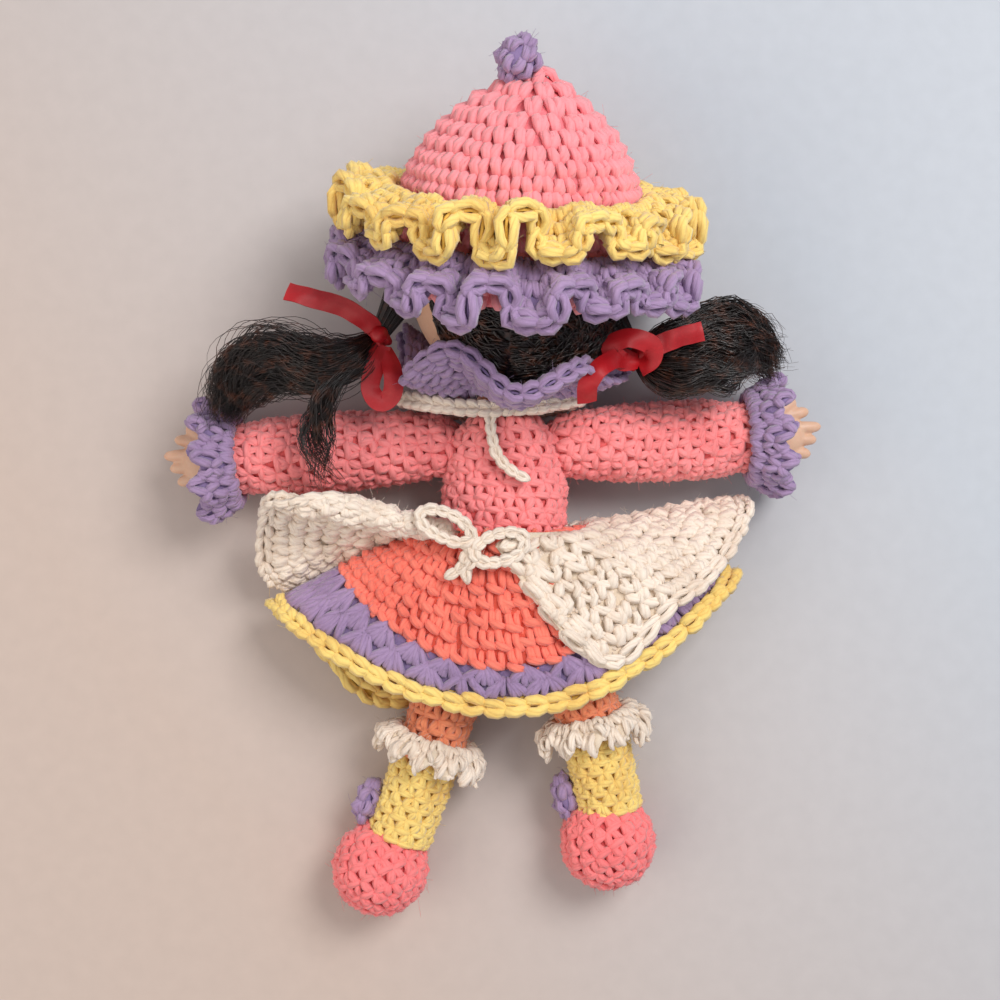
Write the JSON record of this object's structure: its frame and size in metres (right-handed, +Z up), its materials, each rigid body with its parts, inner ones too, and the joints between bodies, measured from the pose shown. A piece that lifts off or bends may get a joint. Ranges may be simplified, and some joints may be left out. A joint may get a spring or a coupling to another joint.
{
  "type": "crocheted doll",
  "caption": "Soft crocheted doll with a vinyl head and hands, hair in two tied bunches, frilled pointed hat, dress, apron, socks and shoes, lying on its front",
  "frame": {"origin": "on the table under the middle of the doll's bounding box, the doll lying on its front", "axes": "+X towards the doll's right hand, +Y towards the tip of its hat, +Z up from the table and out of its back"},
  "size_m": [0.2542, 0.3258, 0.1166],
  "materials": {
    "yarn_pink": "acrylic yarn, single crochet",
    "yarn_coral": "acrylic yarn, crocheted shells",
    "yarn_salmon": "acrylic yarn, single crochet",
    "yarn_lilac": "acrylic yarn, gathered crochet",
    "yarn_yellow": "acrylic yarn, crochet",
    "yarn_white": "cotton yarn, crochet",
    "stuffing": "loose polyester fibre",
    "vinyl": "soft vinyl with a low sheen, painted face",
    "hair": "fine dark brown hair fibre, wavy",
    "ribbon": "narrow red satin ribbon"
  },
  "bodies": {
    "torso": {"bodice": "yarn_pink", "body_stuffing": "stuffing", "collar_frill": "yarn_lilac", "neck_tie": "yarn_white", "neck_tie_tail": "yarn_white", "skirt_panel": "yarn_coral", "skirt_border": "yarn_lilac", "skirt_edging": "yarn_yellow", "apron": "yarn_white", "apron_bow": "yarn_white"},
    "seat": {"seat": "yarn_salmon"},
    "head": {"head_shell": "vinyl", "head_stuffing": "stuffing", "hair_cap": "hair", "hat_cone": "yarn_pink", "hat_stuffing": "stuffing", "hat_upper_frill": "yarn_yellow", "hat_lower_frill": "yarn_lilac", "hat_bobble": "yarn_lilac", "hair_root_left": "hair", "hair_root_right": "hair"},
    "pigtail_left": {"pigtail_left_hair": "hair", "pigtail_left_ribbon": "ribbon"},
    "pigtail_right": {"pigtail_right_hair": "hair", "pigtail_right_ribbon": "ribbon"},
    "arm_left": {"sleeve_left": "yarn_pink", "arm_stuffing_left": "stuffing", "cuff_left": "yarn_lilac", "hand_left": "vinyl"},
    "arm_right": {"sleeve_right": "yarn_pink", "arm_stuffing_right": "stuffing", "cuff_right": "yarn_lilac", "hand_right": "vinyl"},
    "leg_left": {"leg_left": "yarn_salmon", "leg_stuffing_left": "stuffing", "sock_left": "yarn_yellow", "sock_frill_left": "yarn_white", "shoe_left": "yarn_pink", "shoe_bobble_left": "yarn_lilac"},
    "leg_right": {"leg_right": "yarn_salmon", "leg_stuffing_right": "stuffing", "sock_right": "yarn_yellow", "sock_frill_right": "yarn_white", "shoe_right": "yarn_pink", "shoe_bobble_right": "yarn_lilac"}
  },
  "joints": [
    {"name": "neck_turn", "type": "hinge", "parent": "torso", "child": "head", "pos_m": [0.00491, 0.03132, 0.03], "axis": [0.0581, 0.949, 0.3099], "range_deg": [-30, 30]},
    {"name": "shoulder_left", "type": "hinge", "parent": "torso", "child": "arm_left", "pos_m": [-0.02309, 0.01931, 0.0222], "axis": [0, -1, 0], "range_deg": [-30, 55]},
    {"name": "shoulder_right", "type": "hinge", "parent": "torso", "child": "arm_right", "pos_m": [0.03031, 0.01931, 0.0222], "axis": [0, 1, 0], "range_deg": [-30, 55]},
    {"name": "hip_fold", "type": "hinge", "parent": "torso", "child": "seat", "pos_m": [0.00461, -0.03168, 0.016], "axis": [1, 0, 0], "range_deg": [0, 80], "deforming": ["skirt_panel", "skirt_border", "skirt_edging", "apron"]},
    {"name": "hip_left", "type": "hinge", "parent": "seat", "child": "leg_left", "pos_m": [-0.00959, -0.04718, 0.021], "axis": [0, 0, -1], "range_deg": [-10, 12]},
    {"name": "hip_right", "type": "hinge", "parent": "seat", "child": "leg_right", "pos_m": [0.01891, -0.04718, 0.021], "axis": [0, 0, 1], "range_deg": [-10, 12]},
    {"name": "bunch_left_lift", "type": "hinge", "parent": "head", "child": "pigtail_left", "pos_m": [-0.04209, 0.05831, 0.047], "axis": [0, 1, 0], "range_deg": [0, 60], "deforming": ["pigtail_left_ribbon"]},
    {"name": "bunch_right_lift", "type": "hinge", "parent": "head", "child": "pigtail_right", "pos_m": [0.05341, 0.05131, 0.045], "axis": [0, -1, 0], "range_deg": [0, 60], "deforming": ["pigtail_right_ribbon"]}
  ]
}
